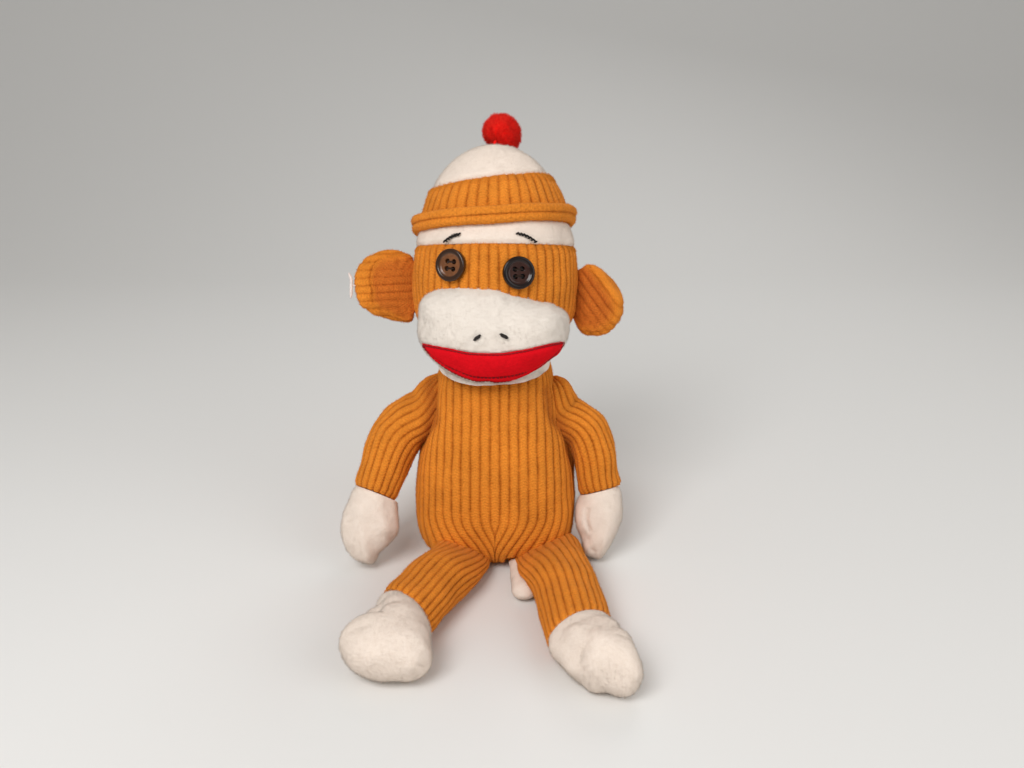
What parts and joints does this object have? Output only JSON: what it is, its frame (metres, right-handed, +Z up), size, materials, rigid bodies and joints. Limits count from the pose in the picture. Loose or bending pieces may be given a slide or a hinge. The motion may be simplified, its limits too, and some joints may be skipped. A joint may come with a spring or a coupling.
{
  "type": "sock monkey doll",
  "caption": "Seated stuffed sock monkey in ribbed knit with a wide muzzle, button eyes, sewn-on ears and tail, and a knitted hat with a pompom.",
  "frame": {"origin": "middle of the seat's flat on the floor that the doll sits on, in the plane midway between its shoulders", "axes": "+Z up; the doll faces -Y, with its back towards +Y; +X is towards the doll's own left"},
  "size_m": [0.1394, 0.1971, 0.2129],
  "materials": {
    "brown_rib_knit": "brushed rib-knitted stocking cloth, golden brown with darker grooves",
    "rust_rib_knit": "rib-knitted stocking cloth, rust brown",
    "ivory_plush": "short-piled plush, warm ivory",
    "red_yarn": "tufted wool yarn, red",
    "red_fleece": "brushed fleece, red",
    "brown_button": "polished four-hole sewing button, dark brown"
  },
  "bodies": {
    "torso": {"torso": "brown_rib_knit"},
    "head": {"head": "brown_rib_knit", "forehead_band": "ivory_plush", "hat_band": "brown_rib_knit", "hat_crown": "ivory_plush", "hat_brim": "brown_rib_knit", "muzzle": "ivory_plush", "lips": "red_fleece", "left_eye_button": "brown_button", "right_eye_button": "brown_button"},
    "pompom": {"pompom": "red_yarn"},
    "left_ear": {"left_ear": "brown_rib_knit", "left_ear_lining": "rust_rib_knit"},
    "right_ear": {"right_ear": "brown_rib_knit", "right_ear_lining": "rust_rib_knit"},
    "left_arm": {"left_arm": "brown_rib_knit", "left_hand": "ivory_plush"},
    "right_arm": {"right_arm": "brown_rib_knit", "right_hand": "ivory_plush"},
    "left_leg": {"left_leg": "brown_rib_knit", "left_foot": "ivory_plush"},
    "right_leg": {"right_leg": "brown_rib_knit", "right_foot": "ivory_plush"},
    "tail": {"tail": "brown_rib_knit", "tail_tip": "ivory_plush"}
  },
  "joints": [
    {"name": "neck_turn", "type": "hinge", "parent": "torso", "child": "head", "pos_m": [0, 0.01356, 0.103], "axis": [0, 0.2419, 0.9703], "range_deg": [-20, 20]},
    {"name": "left_shoulder", "type": "hinge", "parent": "torso", "child": "left_arm", "pos_m": [0.0302, 0.01083, 0.0785], "axis": [-0.9659, 0, -0.2588], "range_deg": [-40, 75]},
    {"name": "right_shoulder", "type": "hinge", "parent": "torso", "child": "right_arm", "pos_m": [-0.029, 0.01143, 0.083], "axis": [-0.9659, 0, 0.2588], "range_deg": [-40, 52]},
    {"name": "left_hip", "type": "hinge", "parent": "torso", "child": "left_leg", "pos_m": [0.02881, -0.02556, 0.01076], "axis": [0.9903, 0.1392, 0], "range_deg": [-25, 70]},
    {"name": "right_hip", "type": "hinge", "parent": "torso", "child": "right_leg", "pos_m": [-0.01603, -0.03033, 0.01076], "axis": [0.9613, -0.2756, 0], "range_deg": [-25, 70]},
    {"name": "tail_root", "type": "hinge", "parent": "torso", "child": "tail", "pos_m": [0, 0.03841, 0.02], "axis": [1, 0, 0], "range_deg": [0, 90]},
    {"name": "left_ear_fold", "type": "hinge", "parent": "head", "child": "left_ear", "pos_m": [0.04185, 0.01997, 0.12873], "axis": [0, 0.2419, 0.9703], "range_deg": [-25, 25], "stiffness_Nm_per_rad": 0.01},
    {"name": "right_ear_fold", "type": "hinge", "parent": "head", "child": "right_ear", "pos_m": [-0.04195, 0.02042, 0.1305], "axis": [0, 0.2419, 0.9703], "range_deg": [-25, 25], "stiffness_Nm_per_rad": 0.01},
    {"name": "pompom_tilt", "type": "hinge", "parent": "head", "child": "pompom", "pos_m": [0, 0.0378, 0.20022], "axis": [1, 0, 0], "range_deg": [0, 60], "stiffness_Nm_per_rad": 0.01}
  ]
}
